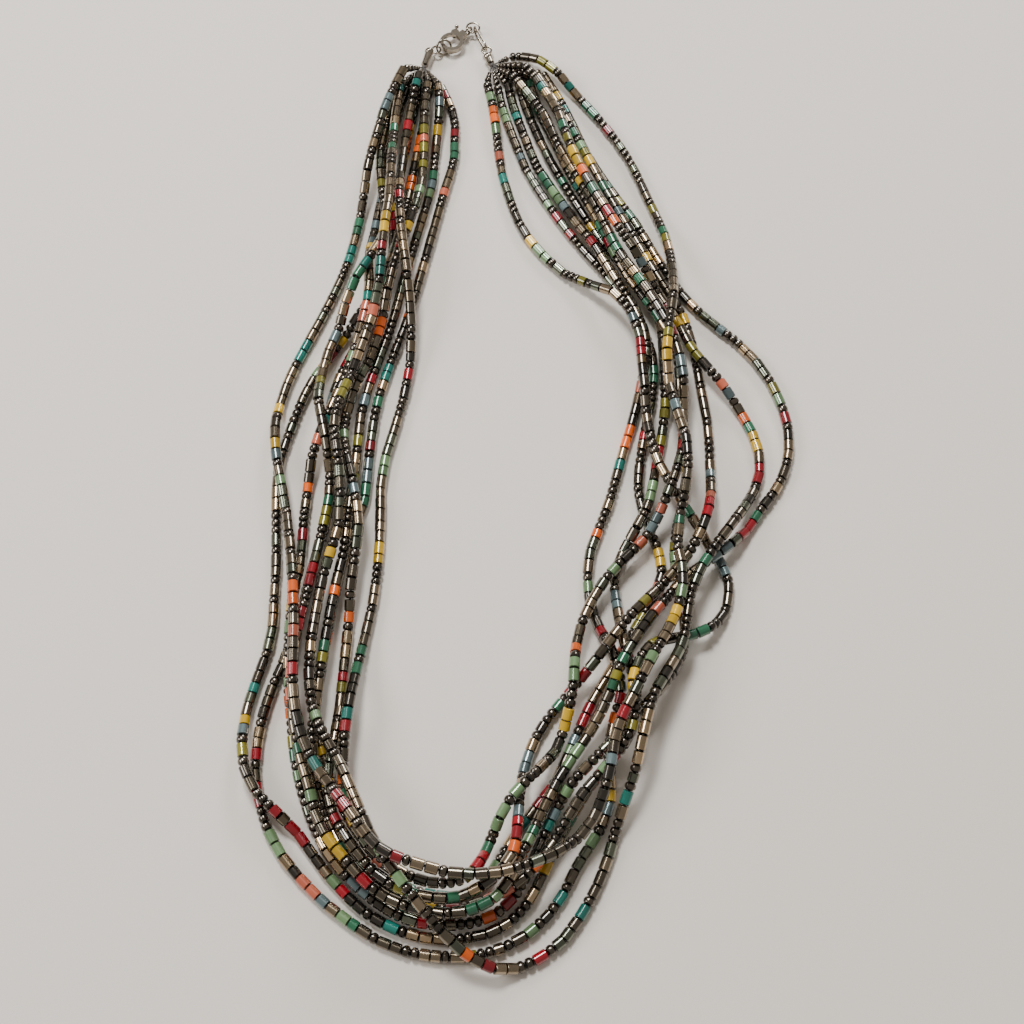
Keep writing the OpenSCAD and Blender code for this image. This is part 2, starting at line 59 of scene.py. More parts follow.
# The strands seen from above, in millimetres, in the order in which they are laid, left end first
ROUTES = [
    [[-20.5, 92], [-18.5, 87], [-17, 82], [-17, 76], [-17, 70], [-18.5, 64], [-20, 57], [-21.5, 50],
     [-23, 43], [-24.5, 36], [-26, 29], [-28, 22], [-30.5, 14], [-32.5, 6], [-33.5, -2], [-34, -10],
     [-34.5, -18], [-36.5, -25], [-38.5, -33], [-40, -41], [-41, -50], [-42, -58], [-42.5, -65],
     [-40.5, -72], [-38, -79], [-35.5, -86], [-32, -91.5], [-26.5, -96.5], [-22, -99], [-16.5, -100],
     [-11.5, -100], [-8, -96.5], [-4.5, -91], [-1, -85.5], [4.5, -79], [7, -73.5], [9.5, -68],
     [12, -62.5], [15, -57.5], [18.5, -51.5], [22, -45.5], [25.5, -39.5], [27.5, -33], [26, -27],
     [24, -21], [23, -14], [24, -7], [25.5, 1], [27, 8], [27.5, 15], [26.5, 21], [24, 27],
     [20.5, 34], [16.5, 40], [12, 46], [7.5, 53], [3.5, 60], [-0.5, 68], [-3, 76], [-5.5, 84],
     [-7, 92]],
    [[-26, 91.5], [-26.5, 86], [-27.5, 80], [-28.5, 73], [-29.5, 66], [-30, 59], [-30.5, 52],
     [-30.5, 45], [-31.5, 38], [-33, 31], [-35.5, 24], [-39, 17], [-42, 9], [-43, 1], [-42.5, -6],
     [-41.5, -14], [-42, -22], [-43.5, -29], [-45, -37], [-47, -45], [-49, -53], [-51.5, -60],
     [-53, -67], [-53.5, -74], [-52.5, -81], [-49.5, -89], [-45, -95], [-39, -101], [-32, -106],
     [-25.5, -109.5], [-18, -111], [-10, -111], [-3, -108.5], [2.5, -104.5], [6.5, -99], [9.5, -93],
     [13, -88], [15.5, -82], [15.5, -75], [15.5, -69], [18, -62], [17.5, -55], [15, -48.5],
     [12.5, -42], [12, -35], [13, -28], [16, -21], [18.5, -12.5], [20.5, -5], [23, 3], [24.5, 10],
     [26, 17], [25, 24.5], [22, 31], [18.5, 38], [14.5, 46], [10, 53.5], [6, 61], [2, 69],
     [-0.5, 77], [-3, 85], [-4.5, 92.5]],
    [[-23, 92], [-24, 86], [-24.5, 80], [-25.5, 73], [-26.5, 66], [-27.5, 58], [-28.5, 50.5],
     [-30, 43], [-32.5, 35.5], [-36, 28.5], [-40, 22.5], [-44, 16], [-47.5, 10], [-49.5, 4],
     [-51.5, -3], [-53, -10], [-53, -17], [-52.5, -25], [-52, -33], [-52, -41], [-52, -48.5],
     [-54, -56], [-56, -64], [-56, -72], [-54, -79], [-49, -84], [-44, -88.5], [-40, -94],
     [-36, -98.5], [-31, -103], [-24.5, -106.5], [-17, -108], [-10, -107.5], [-4, -105], [0, -100.5],
     [2.5, -95.5], [5, -90], [8.5, -84], [12.5, -78], [17, -73], [20.5, -67], [21, -60], [19, -52],
     [18, -45], [17.5, -38], [18, -32.5], [21, -27], [24.5, -21], [26.5, -13], [28, -5], [29.5, 3],
     [29.5, 11], [29.5, 19], [29, 27], [26, 35], [21, 41], [17, 47], [13, 54.5], [9, 62.5], [5, 71],
     [2, 79], [-0.5, 86.5], [-2, 93.5]],
    [[-28.5, 90.5], [-30, 85], [-31.5, 79], [-32.5, 72], [-33, 64], [-34, 56], [-35, 48.5],
     [-35.5, 41], [-35, 33.5], [-35.5, 26], [-37.5, 18], [-40, 9.5], [-43, 1], [-45.5, -7],
     [-46.5, -15], [-47, -24], [-47, -33], [-48, -42], [-48, -51], [-47.5, -60], [-46.5, -69],
     [-45, -77], [-42, -85.5], [-38, -92.5], [-33.5, -97.5], [-28.5, -101.5], [-23, -104.5],
     [-17, -105.5], [-10.5, -105], [-5, -102.5], [-1.5, -97.5], [1.5, -91], [4.5, -84.5], [8, -79],
     [13, -74], [18, -69], [22.5, -64], [27, -58.5], [30.5, -52.5], [31.5, -45], [30.5, -37.5],
     [30, -30], [31, -23], [33, -15.5], [33.5, -8], [33, 0], [33, 8], [32.5, 16], [29.5, 23.5],
     [26, 30], [22, 37], [19, 44], [16, 51.5], [12.5, 59.5], [9, 67], [6.5, 74.5], [4, 81.5],
     [2, 88], [0.5, 95]],
    [[-21, 90.5], [-20.5, 85], [-21, 78], [-21.5, 71], [-22, 63], [-24, 54], [-26, 45], [-28, 36],
     [-29.5, 28], [-31.5, 20], [-34, 12], [-36, 3], [-36.5, -6], [-37, -15], [-37.5, -23],
     [-38, -31], [-39.5, -39], [-40.5, -47], [-41.5, -56], [-42, -64], [-42.5, -71.5], [-41, -79],
     [-39, -85], [-36, -91], [-32, -95.5], [-27.5, -99], [-22.5, -101.5], [-16.5, -103],
     [-11, -102.5], [-5.5, -100], [-1, -97], [3, -92.5], [6.5, -87], [10, -81.5], [14.5, -76.5],
     [18.5, -71.5], [20.5, -66], [20, -59], [22.5, -53.5], [26.5, -50], [32, -49], [37, -46.5],
     [40, -42.5], [41, -37], [39.5, -31.5], [36.5, -27.5], [33.5, -22], [30, -16.5], [27, -10],
     [25.5, -3], [25, 5], [24.5, 13], [24, 21], [21, 29], [15, 34], [8, 39], [2.5, 45], [-1.5, 51.5],
     [-4, 59], [-6, 67], [-7, 76], [-8, 84.5], [-9.5, 92]],
    [[-32.5, 88], [-32.5, 81.5], [-34, 74], [-34, 66], [-33, 58], [-32, 50.5], [-32.5, 43],
     [-36, 36.5], [-39.5, 29.5], [-41.5, 22.5], [-44, 15], [-45, 6], [-43.5, -2], [-42, -9],
     [-41.5, -17], [-42.5, -25], [-44, -34], [-45.5, -44], [-47, -54], [-46.5, -64], [-44.5, -73],
     [-42, -80.5], [-40, -87.5], [-35, -93.5], [-30, -99], [-23.5, -102.5], [-17, -104],
     [-11, -103.5], [-6, -101], [-3, -96], [-0.5, -90.5], [2, -85], [5, -79], [8.5, -73.5],
     [12.5, -67.5], [15.5, -62], [18.5, -54.5], [23, -47.5], [28, -40.5], [33, -35], [39.5, -30.5],
     [45, -25], [49.5, -18.5], [53.5, -13], [55.5, -6], [55.5, 1.5], [53.5, 9], [50, 16], [45, 22],
     [40, 26.5], [35, 32.5], [31, 39.5], [27.5, 46.5], [24.5, 53], [20.5, 59.5], [17, 66],
     [13.5, 73], [11, 80], [8, 87.5], [4, 96]],
    [[-23.5, 90.5], [-24, 84], [-24, 76], [-24, 67], [-25, 57], [-27, 48], [-29.5, 39.5],
     [-31, 31.5], [-32.5, 23.5], [-34.5, 15], [-38, 7], [-39.5, -2], [-38, -10], [-36, -18],
     [-35, -26], [-36, -35], [-36.5, -44], [-37, -53], [-37.5, -62], [-38, -71], [-39, -79],
     [-37, -86], [-33, -92], [-28.5, -97], [-22.5, -100.5], [-16.5, -101.5], [-11.5, -100.5],
     [-6.5, -98], [-3, -93], [-2.5, -87.5], [-2, -81], [-1, -75], [1, -69.5], [4.5, -64],
     [9.5, -58.5], [14.5, -53], [18.5, -47.5], [23.5, -42], [28, -37], [32.5, -31.5], [36, -25],
     [38, -17.5], [38.5, -9], [38.5, 0], [37.5, 9], [36.5, 18], [34.5, 27.5], [30.5, 35], [27, 42],
     [23.5, 49.5], [20, 56], [16.5, 63.5], [13.5, 70.5], [10.5, 77.5], [7, 85], [2.5, 93.5]],
    [[-25.5, 93], [-27, 86], [-28, 77], [-29, 66], [-29, 55], [-28, 44.5], [-26.5, 34], [-25.5, 23],
     [-26, 12], [-28.5, 0], [-31, -11], [-31, -21], [-31, -31], [-32, -42], [-34, -53],
     [-35.5, -64.5], [-36, -73], [-35.5, -81], [-33, -88], [-28.5, -93.5], [-22.5, -97.5],
     [-16.5, -99], [-11.5, -98], [-9, -94], [-7, -89], [-4, -83], [0.5, -78], [4.5, -73], [7, -67],
     [8.5, -60], [9, -53], [10.5, -46], [14.5, -38], [19, -32.5], [23.5, -28], [27, -22.5],
     [30, -15.5], [32.5, -7], [33, 2], [33, 11], [31, 20.5], [27.5, 28], [23.5, 35.5], [20, 42],
     [17.5, 48.5], [14.5, 56], [11.5, 62], [8.5, 68.5], [6, 74.5], [4, 81], [0.5, 87.5],
     [-3.5, 93.5]],
    [[-30, 89.5], [-30.5, 83], [-31, 76], [-31, 66], [-31, 54], [-32, 42], [-32.5, 31], [-35, 19.5],
     [-38.5, 8.5], [-41, -1], [-40, -9], [-39, -17], [-39, -26], [-41.5, -35], [-43, -45],
     [-43.5, -56], [-42, -66], [-37.5, -74], [-34, -81], [-30.5, -89], [-26, -96], [-20.5, -103],
     [-14.5, -109.5], [-7.5, -113.5], [-0.5, -112.5], [6, -108], [11, -101], [14.5, -93.5],
     [17, -85.5], [20, -77.5], [22, -69], [24.5, -61.5], [28.5, -55], [31, -49], [32, -42],
     [35, -34.5], [40, -27.5], [45, -20], [48.5, -13], [49, -5.5], [46, 3], [41, 10.5], [36, 17],
     [33, 24.5], [29.5, 31], [25.5, 38], [21, 45], [17, 52.5], [13, 60.5], [9.5, 70], [7.5, 79],
     [4, 88], [-0.5, 95]],
    [[-29, 92.5], [-31.5, 86], [-34, 78], [-36, 69], [-37.5, 59.5], [-39, 49], [-41, 40],
     [-44.5, 30], [-48.5, 20.5], [-52, 11.5], [-54, 2], [-53.5, -7], [-51.5, -16], [-49.5, -26],
     [-47.5, -38], [-46.5, -50], [-46, -62], [-43.5, -72], [-38.5, -80], [-33.5, -86.5],
     [-28.5, -93], [-21.5, -96], [-12, -98], [-3, -97], [5.5, -93], [12, -86.5], [15, -78],
     [16.5, -70], [20.5, -62], [24, -55], [28.5, -47], [31, -38.5], [30, -29.5], [32, -19], [33, -9],
     [30.5, 3], [29.5, 14.5], [31.5, 27.5], [32, 39.5], [30.5, 51], [27, 61.5], [23.5, 71],
     [17.5, 81.5], [10, 91.5], [2.5, 99], [-4, 101]]
]
# Middle of the necklace on the grid of the routes, in millimetres
MIDDLE = (-0.27, -1.62)

# The tube that stands for a strand: its rings, its width in millimetres and its sides
RINGS = 80
TUBE_WIDTH = 2.3
TUBE_SIDES = 8
TUBE_HALF = TUBE_WIDTH / 2 * math.cos(math.pi / TUBE_SIDES)
# Distance that the axes of two strands keep, in millimetres
PITCH = 2.55
# How far round a section the laid strands are looked for, and the steps in which it is tried
REACH = 13.0
TRIES = 4
# How much lower than a lifted ring the next one may lie, and how many rings it lifts on each side
DROP = 2.6
DROP_RINGS = 4

# Height of the clasp and of the knots, in millimetres
CLASP_HEIGHT = 1.8
# The ball and the mouth of each end piece, in millimetres on the grid of the routes
END_PLACES = {"left": ((-23.5, 102.1), (-24.5, 98.0)), "right": ((-9.3, 100.5), (-8.6, 98.6))}
# Distance from the mouth to the middle of the knot, in millimetres
KNOT_OUT = 0.7

# Grey metallic cylinders: colour and share
GREYS = [
    ((0.27, 0.21, 0.14), 5),
    ((0.15, 0.125, 0.09), 5),
    ((0.52, 0.38, 0.23), 2),
    ((0.15, 0.165, 0.12), 3),
    ((0.075, 0.066, 0.054), 3),
]
# Coloured cylinders: colour, how metallic they look, and share
COLOURS = [
    ((0.26, 0.002, 0.010), 0.10, 6),
    ((0.72, 0.11, 0.004), 0.05, 3),
    ((0.52, 0.12, 0.065), 0.10, 2),
    ((0.62, 0.38, 0.012), 0.10, 4),
    ((0.20, 0.18, 0.02), 0.25, 3),
    ((0.022, 0.13, 0.065), 0.15, 5),
    ((0.15, 0.26, 0.12), 0.20, 4),
    ((0.006, 0.15, 0.12), 0.15, 2),
    ((0.12, 0.17, 0.18), 0.40, 4),
]
# How metallic the grey cylinders and the small round beads look
GREY_METAL = 0.95
SEED_METAL = 0.9
# Chance that a coloured cylinder is followed by another of its colour
PAIR_CHANCE = 0.25
# How many beads of a kind come in a row, each as likely as it is often here
GREY_RUNS = (1, 1, 1, 2)
SEED_RUNS = (1, 1, 1, 2, 3)
# Between which shares of their usual colour, width and length the beads of a strand vary
CYLINDER_SHADES = (0.7, 1.4)
CYLINDER_WIDTHS = (0.89, 0.97)
SEED_SHADES = (0.7, 1.6)
SEED_WIDTHS = (0.92, 1.0)
SEED_LENGTHS = (0.9, 1.1)
# Share of its place on the thread that a bead fills
BEAD_FILL = 0.96
# The random draws of a strand start from this and its number
FIRST_DRAW = 4100

# Small beads on the end threads, in metres: where they start, and how near to the knot they stop
END_START = 0.0005
END_STOP = 0.0024
# Their widest radius, their radius at the knot, and how much it grows with the distance from it
END_WIDEST = 0.00098
END_NARROWEST = 0.0002
END_GROWTH = 0.115
# Their length over their radius, the share of it that they fill, and their shades
END_LENGTH = 1.5
END_FILL = 0.97
END_SHADES = (0.8, 2.2)

# Outlines of the two bead shapes: radius, place along the bead, and how much painted shade it gets there,
# standing for the shade in the grooves between beads
CYLINDER_OUTLINE = [
    (0.30, -0.44, 1), (0.80, -0.5, 1), (1.0, -0.43, 0),
    (1.0, 0.43, 0), (0.80, 0.5, 1), (0.30, 0.44, 1)]
SEED_OUTLINE = [
    (0.32, -0.44, 1), (0.56, -0.5, 1), (0.90, -0.30, 0.1), (1.0, 0, 0),
    (0.90, 0.30, 0.1), (0.56, 0.5, 1), (0.32, 0.44, 1)]
# Sides of a bead and of the thread, and the angle past which an edge of a bead is sharp
BEAD_SIDES = 12
THREAD_SIDES = 6
SHARP_ANGLE = math.radians(40)
# Size of the beads in the stringing tree over their own size
BEAD_SCALE = 1.0
# A run of beads with fewer faces for each bead than this went wrong
FEWEST_FACES = 10

# How much paler the thread is where it is worn
THREAD_PALER = 2.2
# Numbers of the colour sockets on a mix node, whose names repeat
MIX_FACTOR = 0
MIX_FIRST = 6
MIX_SECOND = 7
MIX_RESULT = 2

# Where the camera looks and stands, in millimetres on the grid of the routes
LOOK_AT = (-3.5, -19.8, 0.0)
CAMERA_PLACE = (-3.5, -159.3, 299.1)
SENSOR_WIDTH = 36.0
CLIP_NEAR = 0.01
CLIP_FAR = 10.0
# The lamps: name, place and size in metres, and power in watts
LAMPS = (
    ("key", (-0.20, 0.43, 0.88), 0.24, 9.0),
    ("fill", (-0.75, 0.05, 0.55), 0.34, 4.0),
    ("back", (0.25, 0.80, 0.42), 0.22, 3.5),
)
STUDIO_COLOUR = (1.0, 0.94, 0.86, 1.0)
STUDIO_STRENGTH = 0.34
FLOOR_ROUGHNESS = 0.75

Bead = namedtuple("Bead", "middle way is_seed length radius tint metal")


class NecklaceBeads(bpy.types.PropertyGroup):
    width: bpy.props.FloatProperty(
        name="Bead width", description="Width of the widest beads, across their axis",
        default=0.0024, min=0.001, unit="LENGTH")
    short: bpy.props.FloatProperty(
        name="Shortest", description="Length of the shortest cylinder bead",
        default=0.0020, min=0.001, unit="LENGTH")
    long: bpy.props.FloatProperty(
        name="Longest", description="Length of the longest cylinder bead",
        default=0.0031, min=0.001, unit="LENGTH")
    seed_length: bpy.props.FloatProperty(
        name="Seed length", description="Length of a small round bead along its thread",
        default=0.0016, min=0.0005, unit="LENGTH")
    thread_width: bpy.props.FloatProperty(
        name="Thread width", description="Width of the thread that a strand is strung on",
        default=0.0005, min=0.0001, unit="LENGTH")
    seed_colour: bpy.props.FloatVectorProperty(
        name="Seed colour", description="Colour of the small round beads",
        default=(0.085, 0.070, 0.052), size=3, min=0, max=1, subtype="COLOR")
    colour_share: bpy.props.FloatProperty(
        name="Share of colours", description="Chance that the next cylinder is a coloured one",
        default=0.34, min=0, max=1, subtype="FACTOR")
    seed_share: bpy.props.FloatProperty(
        name="Share of seeds", description="Chance that small round beads follow a cylinder",
        default=0.45, min=0, max=1, subtype="FACTOR")


class NecklaceMetal(bpy.types.PropertyGroup):
    colour: bpy.props.FloatVectorProperty(
        name="Metal", description="Colour of the clasp, the rings and the end pieces",
        default=(0.45, 0.40, 0.33), size=3, min=0, max=1, subtype="COLOR")
    tarnish: bpy.props.FloatVectorProperty(
        name="Tarnish", description="Colour of the metal where it has dulled",
        default=(0.07, 0.05, 0.035), size=3, min=0, max=1, subtype="COLOR")
    thread: bpy.props.FloatVectorProperty(
        name="Thread", description="Colour of the threads",
        default=(0.05, 0.045, 0.04), size=3, min=0, max=1, subtype="COLOR")


class NecklaceStage(bpy.types.PropertyGroup):
    floor: bpy.props.FloatVectorProperty(
        name="Floor", description="Colour of the floor",
        default=(0.80, 0.74, 0.67), size=3, min=0, max=1, subtype="COLOR")
    floor_size: bpy.props.FloatProperty(
        name="Floor size", description="Length of the floor's sides", default=3.0, unit="LENGTH")
    lens: bpy.props.FloatProperty(
        name="Lens", description="Focal length of the camera in millimetres", default=55.25)


def spline(points, u):
    """Point at parameter u on the smooth curve through the points."""
    i = min(int(u), len(points) - 2)
    t = u - i
    b, c = points[i], points[i + 1]
    a = points[i - 1] if i > 0 else 2 * b - c
    d = points[i + 2] if i + 2 < len(points) else 2 * c - b
    return (2 * b + (c - a) * t + (2 * a - 5 * b + 4 * c - d) * t**2
            + (3 * b - a - 3 * c + d) * t**3) / 2


def needed_height(start, stop, laid):
    """Height in millimetres that the section from start to stop needs over the laid strands."""
    need = TUBE_HALF
    for line in laid:
        heads, tails = line[:-1], line[1:]
        near = (np.abs(heads[:, 0] - start[0]) < REACH) & (np.abs(heads[:, 1] - start[1]) < REACH)
        if not near.any():
            continue
        heads, tails = heads[near], tails[near]
        run = (tails - heads)[:, :2]
        square = (run * run).sum(1)
        for n in range(TRIES + 1):
            here = start + (stop - start) * n / TRIES
            t = np.clip(((here - heads[:, :2]) * run).sum(1) / square, 0, 1)
            foot = heads + t[:, None] * (tails - heads)
            away = np.linalg.norm(foot[:, :2] - here, axis=1)
            met = away < PITCH
            if met.any():
                need = max(need, (foot[met, 2] + np.sqrt(PITCH**2 - away[met] ** 2)).max())
    return need


def lay_strands():
    """The axes of the strands, each lifted over those laid before it, in millimetres."""
    laid = []
    for route in ROUTES:
        points = np.array(route, float)
        last = len(points) - 1
        flat = np.array([spline(points, k * last / (RINGS - 1)) for k in range(RINGS)])
        need = [needed_height(flat[k], flat[k + 1], laid) for k in range(RINGS - 1)]
        rest = [max(need[max(k - 1, 0)], need[min(k, RINGS - 2)]) for k in range(RINGS)]
        height = [
            max(rest[j] - DROP * abs(k - j)
                for j in range(max(k - DROP_RINGS, 0), min(k + DROP_RINGS, RINGS - 1) + 1))
            for k in range(RINGS)]
        laid.append(np.column_stack([flat, height]))
    return laid


def in_frame(points):
    """Millimetres on the grid of the routes to metres in the frame."""
    return (np.asarray(points, float) - np.array([MIDDLE[0], MIDDLE[1], 0.0])) * MM


def pick(rng, rows):
    """One of the rows, by the share that each ends with."""
    return rng.choices(rows, weights=[row[-1] for row in rows])[0]


def bead_list(rng, length, beads):
    """Beads that fill a strand: round or not, length, width, colour and how metallic."""
    made = []
    used = 0.0
    while used < length:
        if rng.random() < beads.colour_share:
            tint, metal, _ = pick(rng, COLOURS)
            count = 2 if rng.random() < PAIR_CHANCE else 1
        else:
            tint, _ = pick(rng, GREYS)
            metal = GREY_METAL
            count = rng.choice(GREY_RUNS)
        for _ in range(count):
            shade = rng.uniform(*CYLINDER_SHADES)
            size = rng.uniform(beads.short, beads.long)
            width = beads.width * rng.uniform(*CYLINDER_WIDTHS)
            made.append((False, size, width, [c * shade for c in tint], metal))
            used += size
        if rng.random() < beads.seed_share:
            for _ in range(rng.choice(SEED_RUNS)):
                shade = rng.uniform(*SEED_SHADES)
                size = beads.seed_length * rng.uniform(*SEED_LENGTHS)
                width = beads.width * rng.uniform(*SEED_WIDTHS)
                made.append((True, size, width, [c * shade for c in beads.seed_colour], SEED_METAL))
                used += size
    fit = length / used
    return [(is_seed, size * fit, width, tint, metal) for is_seed, size, width, tint, metal in made]


def strand_run(axis, beads, rng):
    """The beads of one strand, on its axis in metres."""
    steps = np.linalg.norm(np.diff(axis, axis=0), axis=1)
    along = np.concatenate([[0.0], np.cumsum(steps)])

    def at(distance):
        return np.array([np.interp(distance, along, axis[:, i]) for i in range(3)])

    run = []
    used = 0.0
    for is_seed, size, width, tint, metal in bead_list(rng, along[-1], beads):
        front = at(used)
        back = at(used + size)
        way = (back - front) / np.linalg.norm(back - front)
        middle = (front + back) / 2
        run.append(Bead(middle, way, is_seed, size * BEAD_FILL, width / 2, tint, metal))
        used += size
    return run


def knot_place(ball, mouth):
    """Where the threads of an end piece meet, just past its mouth, in metres."""
    out = np.subtract(mouth, ball)
    flat = np.array(mouth) + out / np.linalg.norm(out) * KNOT_OUT
    return in_frame([*flat, CLASP_HEIGHT])


def end_run(tip, knot, rng, colour):
    """Small beads on the straight thread from the tip of a strand towards the knot."""
    way = (knot - tip) / np.linalg.norm(knot - tip)
    span = np.linalg.norm(knot - tip)
    run = []
    used = END_START
    while span - used > END_STOP:
        radius = min(END_WIDEST, END_NARROWEST + END_GROWTH * (span - used))
        size = radius * END_LENGTH
        shade = rng.uniform(*END_SHADES)
        tint = [c * shade for c in colour]
        middle = tip + way * (used + size / 2)
        run.append(Bead(middle, way, True, size * END_FILL, radius, tint, SEED_METAL))
        used += size
    return run


def lathe(name, outline):
    """A closed ring shape turned about z from an outline, with its painted shade at the ends as an
    attribute.
    """
    verts = [
        (r * math.cos(2 * math.pi * j / BEAD_SIDES), r * math.sin(2 * math.pi * j / BEAD_SIDES), z)
        for r, z, _ in outline for j in range(BEAD_SIDES)]
    faces = []
    for i in range(len(outline)):
        row = i * BEAD_SIDES
        next_row = (i + 1) % len(outline) * BEAD_SIDES
        for j in range(BEAD_SIDES):
            k = (j + 1) % BEAD_SIDES
            faces.append((row + j, row + k, next_row + k, next_row + j))
    mesh = bpy.data.meshes.new(name)
    mesh.from_pydata(verts, [], faces)
    mesh.shade_smooth()
    mesh.set_sharp_from_angle(angle=SHARP_ANGLE)
    # Painted shade: how dark each ring of the bead is painted, for the shade in the grooves between beads
    mesh.attributes.new("groove_shade", "FLOAT", "POINT").data.foreach_set(
        "value", [groove_shade for _, _, groove_shade in outline for _ in range(BEAD_SIDES)])
    shape = bpy.data.objects.new(name, mesh)
    bpy.context.scene.collection.objects.link(shape)
    return shape


def stringing_tree(cylinder, seed, bead_finish, thread_finish):
    """Puts a bead on each point and runs a thread through them all."""
    tree = bpy.data.node_groups.new("stringing", "GeometryNodeTree")
    face = tree.interface
    face.new_socket("Geometry", in_out="INPUT", socket_type="NodeSocketGeometry")
    face.new_socket("Bead scale", in_out="INPUT", socket_type="NodeSocketFloat")
    face.new_socket("Thread width", in_out="INPUT", socket_type="NodeSocketFloat")
    face.new_socket("Geometry", in_out="OUTPUT", socket_type="NodeSocketGeometry")
    add, link = tree.nodes.new, tree.links.new
    start, end = add("NodeGroupInput"), add("NodeGroupOutput")

    def attribute(name, kind):
        node = add("GeometryNodeInputNamedAttribute")
        node.data_type = kind
        node.inputs["Name"].default_value = name
        return node.outputs["Attribute"]

    # A bead on each point, turned along the thread
    turn = add("FunctionNodeAlignRotationToVector")
    turn.axis = "Z"
    link(attribute("way", "FLOAT_VECTOR"), turn.inputs["Vector"])
    size = add("ShaderNodeVectorMath")
    size.operation = "SCALE"
    link(attribute("size", "FLOAT_VECTOR"), size.inputs[0])
    link(start.outputs["Bead scale"], size.inputs["Scale"])
    join = add("GeometryNodeJoinGeometry")
    for shape, mark in ((cylinder, "is_cylinder"), (seed, "is_seed")):
        info = add("GeometryNodeObjectInfo")
        info.inputs["Object"].default_value = shape
        info.inputs["As Instance"].default_value = True
        place = add("GeometryNodeInstanceOnPoints")
        link(start.outputs["Geometry"], place.inputs["Points"])
        link(attribute(mark, "BOOLEAN"), place.inputs["Selection"])
        link(info.outputs["Geometry"], place.inputs["Instance"])
        link(turn.outputs["Rotation"], place.inputs["Rotation"])
        link(size.outputs["Vector"], place.inputs["Scale"])
        link(place.outputs["Instances"], join.inputs["Geometry"])

    # The thread, a thin tube along the edges between the points
    radius = add("ShaderNodeMath")
    radius.operation = "MULTIPLY"
    radius.inputs[1].default_value = 0.5
    link(start.outputs["Thread width"], radius.inputs[0])
    line = add("GeometryNodeMeshToCurve")
    link(start.outputs["Geometry"], line.inputs["Mesh"])
    circle = add("GeometryNodeCurvePrimitiveCircle")
    circle.inputs["Resolution"].default_value = THREAD_SIDES
    link(radius.outputs["Value"], circle.inputs["Radius"])
    tube = add("GeometryNodeCurveToMesh")
    tube.inputs["Fill Caps"].default_value = True
    link(line.outputs["Curve"], tube.inputs["Curve"])
    link(circle.outputs["Curve"], tube.inputs["Profile Curve"])
    mark = add("GeometryNodeStoreNamedAttribute")
    mark.data_type = "BOOLEAN"
    mark.domain = "FACE"
    mark.inputs["Name"].default_value = "is_thread"
    mark.inputs["Value"].default_value = True
    link(tube.outputs["Mesh"], mark.inputs["Geometry"])
    link(mark.outputs["Geometry"], join.inputs["Geometry"])

    # Real meshes with their finishes
    real = add("GeometryNodeRealizeInstances")
    link(join.outputs["Geometry"], real.inputs["Geometry"])
    beads = add("GeometryNodeSetMaterial")
    beads.inputs["Material"].default_value = bead_finish
    link(real.outputs["Geometry"], beads.inputs["Geometry"])
    threads = add("GeometryNodeSetMaterial")
    threads.inputs["Material"].default_value = thread_finish
    link(beads.outputs["Geometry"], threads.inputs["Geometry"])
    link(attribute("is_thread", "BOOLEAN"), threads.inputs["Selection"])
    link(threads.outputs["Geometry"], end.inputs["Geometry"])
    return tree


def bead_piece(name, runs, tree, thread_width):
    """A plain mesh of the beads of one or more runs, with the thread through each run."""
    beads = [bead for run in runs for bead in run]
    edges = []
    first = 0
    for run in runs:
        edges += [(first + k, first + k + 1) for k in range(len(run) - 1)]
        first += len(run)
    mesh = bpy.data.meshes.new(name)
    mesh.from_pydata([tuple(bead.middle) for bead in beads], edges, [])

    def store(label, kind, field, values):
        mesh.attributes.new(label, kind, "POINT").data.foreach_set(field, values)

    store("way", "FLOAT_VECTOR", "vector", [v for bead in beads for v in bead.way])
    store("size", "FLOAT_VECTOR", "vector",
          [v for bead in beads for v in (bead.radius, bead.radius, bead.length)])
    store("is_seed", "BOOLEAN", "value", [bead.is_seed for bead in beads])
    store("is_cylinder", "BOOLEAN", "value", [not bead.is_seed for bead in beads])
    store("tint", "FLOAT_COLOR", "color", [v for bead in beads for v in (*bead.tint, 1.0)])
    store("metal", "FLOAT", "value", [bead.metal for bead in beads])
    piece = bpy.data.objects.new(name, mesh)
    bpy.context.scene.collection.objects.link(piece)
    stringing = piece.modifiers.new("stringing", "NODES")
    stringing.node_group = tree
    ids = {s.name: s.identifier for s in tree.interface.items_tree if s.in_out == "INPUT"}
    stringing[ids["Bead scale"]] = BEAD_SCALE
    stringing[ids["Thread width"]] = thread_width
    graph = bpy.context.evaluated_depsgraph_get()
    plain = bpy.data.meshes.new_from_object(
        piece.evaluated_get(graph), preserve_all_data_layers=True, depsgraph=graph)
    piece.modifiers.clear()
    piece.data = plain
    bpy.data.meshes.remove(mesh)
    plain.name = name
    if len(plain.polygons) < FEWEST_FACES * len(beads):
        raise RuntimeError(f"{name} came out with too few faces")
    return piece


def tarnish_group():
    """Uneven dulling and fine pits, read on object coordinates."""
    found = bpy.data.node_groups.get("tarnish")
    if found:
        return found
    group = bpy.data.node_groups.new("tarnish", "ShaderNodeTree")
    for name in ("Patch scale", "Pit scale"):
        group.interface.new_socket(name, in_out="INPUT", socket_type="NodeSocketFloat")
    for name in ("Mask", "Pits"):
        group.interface.new_socket(name, in_out="OUTPUT", socket_type="NodeSocketFloat")
    add, link = group.nodes.new, group.links.new
    start, end = add("NodeGroupInput"), add("NodeGroupOutput")
    place = add("ShaderNodeTexCoord")
    for source, target, detail in (("Patch scale", "Mask", 3.0), ("Pit scale", "Pits", 2.0)):
        noise = add("ShaderNodeTexNoise")
        noise.inputs["Detail"].default_value = detail
        link(place.outputs["Object"], noise.inputs["Vector"])
        link(start.outputs[source], noise.inputs["Scale"])
        link(noise.outputs["Fac"], end.inputs[target])
    return group


